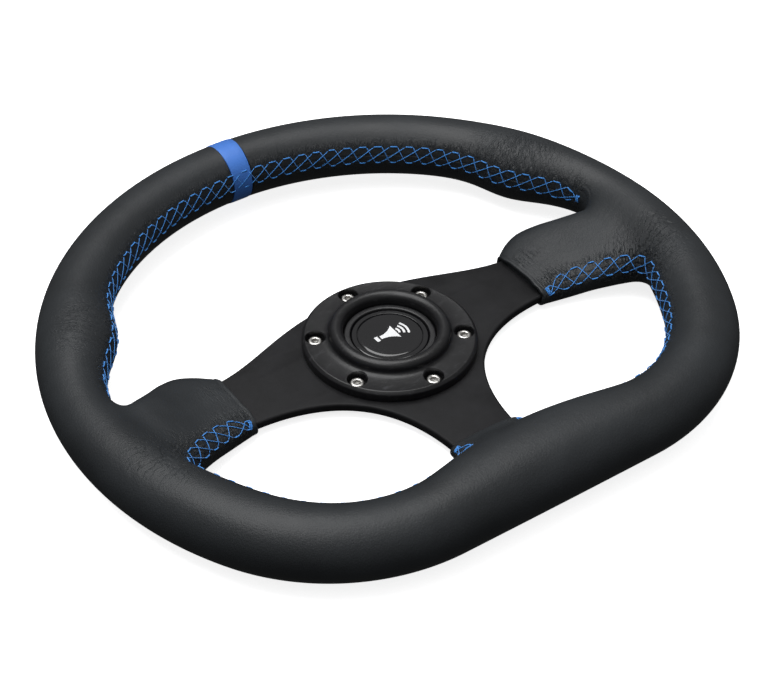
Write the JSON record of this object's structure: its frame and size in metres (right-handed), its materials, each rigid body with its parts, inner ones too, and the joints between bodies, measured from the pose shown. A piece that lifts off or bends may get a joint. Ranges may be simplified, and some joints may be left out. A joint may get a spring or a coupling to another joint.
{
  "type": "steering wheel",
  "caption": "D-shaped motorsport steering wheel: padded leather rim with a flat bottom and a centre band, flat metal spoke plate with a bolt circle, and a sprung horn button in a clamp ring.",
  "frame": {"origin": "on the steering axis, in the plane of the spoke plate's back, where the wheel meets its hub", "axes": "+Z along the steering axis towards the driver, +Y to 12 o'clock, +X to 3 o'clock"},
  "size_m": [0.3258, 0.2927, 0.0393],
  "materials": {
    "leather": "satin",
    "band_leather": "satin",
    "thread": "matte",
    "foam": "matte",
    "spoke_plate": "matte",
    "horn_ring": "satin",
    "steel": "plain",
    "screw_steel": "polished",
    "black_plastic": "satin",
    "cap_gloss": "gloss",
    "brass": "plain"
  },
  "bodies": {
    "wheel": {"spoke_plate": "spoke_plate", "rim_hoop": "steel", "rim_foam_core": "foam", "leather_upper_right": "leather", "leather_upper_left": "leather", "leather_lower": "leather", "center_band": "band_leather", "horn_ring": "horn_ring", "horn_base": "black_plastic", "horn_housing": "black_plastic", "contact_rivet_upper": "brass", "contact_rivet_lower": "brass", "contact_plate_fixed": "brass", "terminal_right": "brass", "terminal_left": "brass", "horn_spring": "steel", "hub_screw_1": "screw_steel", "hub_screw_2": "screw_steel", "hub_screw_3": "screw_steel", "hub_screw_4": "screw_steel", "hub_screw_5": "screw_steel", "hub_screw_6": "screw_steel"},
    "horn_button": {"horn_cap": "cap_gloss", "cap_emblem": "cap_gloss", "contact_plate_moving": "brass"}
  },
  "joints": [
    {"name": "horn_press", "type": "slide", "parent": "wheel", "child": "horn_button", "axis": [0, 0, 1], "range_m": [-0.0018, 0], "stiffness_N_per_m": 2500, "springref_m": 0.0012, "deforming": ["horn_spring"]}
  ]
}
